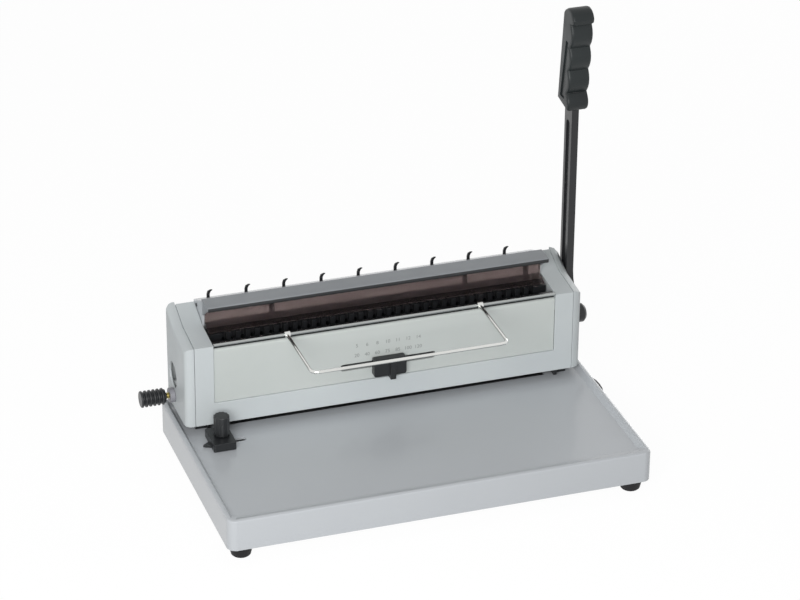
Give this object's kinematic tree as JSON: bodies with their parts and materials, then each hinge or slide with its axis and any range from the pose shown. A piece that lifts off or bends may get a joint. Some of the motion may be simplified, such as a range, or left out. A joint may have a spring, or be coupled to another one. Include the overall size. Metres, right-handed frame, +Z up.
{
  "type": "wire binding machine",
  "caption": "Desktop machine that punches a row of square holes in sheets with a hand lever and closes a wire comb in its top channel.",
  "frame": {"origin": "on the floor, below the middle of the whole machine with its knob, lever and grip", "axes": "+X to the right along the row of holes, towards the lever; +Y from the front of the tray to the rear; +Z up"},
  "size_m": [0.41, 0.2174, 0.369],
  "materials": {
    "body_paint": "smooth light grey paint, satin",
    "cover_plastic": "light grey moulding, fine satin",
    "panel_paint": "pale grey paint, satin",
    "hood_plastic": "mid grey moulding, satin",
    "rail_plastic": "pale grey moulding",
    "smoked_plastic": "smoked brown, clear and glossy",
    "black_plastic": "black moulding, fine grain",
    "foot_rubber": "black rubber, dull",
    "grip_rubber": "black moulded grip, satin",
    "black_steel": "black steel, semi-gloss",
    "plain_steel": "plain machined steel",
    "bright_chrome": "polished",
    "brass_screw": "turned brass, bright",
    "bronze_bush": "sintered bronze, dull"
  },
  "bodies": {
    "frame": {"base_tray": "body_paint", "base_plate": "plain_steel", "foot_front_left": "foot_rubber", "foot_front_right": "foot_rubber", "foot_rear_left": "foot_rubber", "foot_rear_right": "foot_rubber", "drawer_rail_front": "plain_steel", "drawer_rail_rear": "plain_steel", "die_plate": "plain_steel", "guide_plate": "black_steel", "back_stop": "plain_steel", "left_frame_plate": "plain_steel", "right_frame_plate": "plain_steel", "left_bearing": "bronze_bush", "right_bearing": "bronze_bush", "punch_spring_left": "plain_steel", "punch_spring_right": "plain_steel", "wire_rest": "black_plastic", "front_jaw": "black_steel", "front_frame": "cover_plastic", "left_side_cover": "cover_plastic", "right_side_cover": "cover_plastic", "front_panel": "panel_paint", "rear_cover": "body_paint", "top_cover": "body_paint", "hood_strip": "hood_plastic", "smoked_guard": "smoked_plastic", "closer_guide_rail": "rail_plastic", "wire_hooks": "black_steel", "hinge_rod": "bright_chrome", "margin_collar": "rail_plastic"},
    "lever": {"drive_shaft": "plain_steel", "pinion_left": "plain_steel", "pinion_right": "plain_steel", "lever_arm": "black_steel", "lever_grip": "grip_rubber", "lever_bolt": "black_plastic"},
    "punch": {"punch_beam": "plain_steel", "punch_rack_left": "plain_steel", "punch_rack_right": "plain_steel", "punch_pins": "plain_steel"},
    "closer": {"closing_bar": "black_steel", "closer_arm_left": "plain_steel", "closer_arm_right": "plain_steel", "closer_crossbar": "plain_steel"},
    "selector": {"size_slider": "black_plastic", "size_wedge": "plain_steel"},
    "page_rest": {"bail": "bright_chrome"},
    "margin_adjuster": {"margin_screw": "brass_screw", "margin_knob": "black_plastic"},
    "sheet_stop": {"edge_stop": "plain_steel"},
    "guide": {"side_guide": "black_plastic"},
    "guide_clamp": {"side_guide_knob": "black_plastic", "side_guide_stud": "plain_steel"},
    "drawer": {"chip_drawer": "body_paint", "drawer_pull": "black_plastic"}
  },
  "joints": [
    {"name": "lever_turn", "type": "hinge", "parent": "frame", "child": "lever", "pos_m": [0.00598, 0.08428, 0.0755], "axis": [1, 0, 0], "range_deg": [0, 85], "stiffness_Nm_per_rad": 0.32, "springref_deg": -28.65},
    {"name": "punch_slide", "type": "slide", "parent": "frame", "child": "punch", "axis": [0, 0, -1], "range_m": [0, 0.0119], "deforming": ["punch_spring_left", "punch_spring_right"]},
    {"name": "closer_slide", "type": "slide", "parent": "frame", "child": "closer", "axis": [0, -1, 0], "range_m": [0, 0.0119]},
    {"name": "selector_slide", "type": "slide", "parent": "frame", "child": "selector", "axis": [1, 0, 0], "range_m": [-0.026, 0.026]},
    {"name": "page_rest_turn", "type": "hinge", "parent": "frame", "child": "page_rest", "pos_m": [0.00598, 0.04627, 0.1194], "axis": [1, 0, 0], "range_deg": [0, 60]},
    {"name": "margin_turn", "type": "hinge", "parent": "frame", "child": "margin_adjuster", "pos_m": [-0.18402, 0.08178, 0.0575], "axis": [1, 0, 0], "range_deg": [-1081, 1081]},
    {"name": "sheet_stop_slide", "type": "slide", "parent": "frame", "child": "sheet_stop", "axis": [1, 0, 0], "range_m": [-0.003, 0.003]},
    {"name": "guide_slide", "type": "slide", "parent": "frame", "child": "guide", "axis": [1, 0, 0], "range_m": [0, 0.018]},
    {"name": "guide_clamp_turn", "type": "hinge", "parent": "guide", "child": "guide_clamp", "pos_m": [-0.14822, 0.02627, 0.05], "axis": [0, 0, -1], "range_deg": [0, 180]},
    {"name": "drawer_slide", "type": "slide", "parent": "frame", "child": "drawer", "axis": [1, 0, 0], "range_m": [0, 0.25]}
  ],
  "couplings": [
    {"joint": "punch_slide", "follows": "lever_turn", "m_per_rad": 0.008},
    {"joint": "closer_slide", "follows": "lever_turn", "m_per_rad": 0.008},
    {"joint": "margin_turn", "follows": "sheet_stop_slide", "rad_per_m": 6283.2}
  ]
}
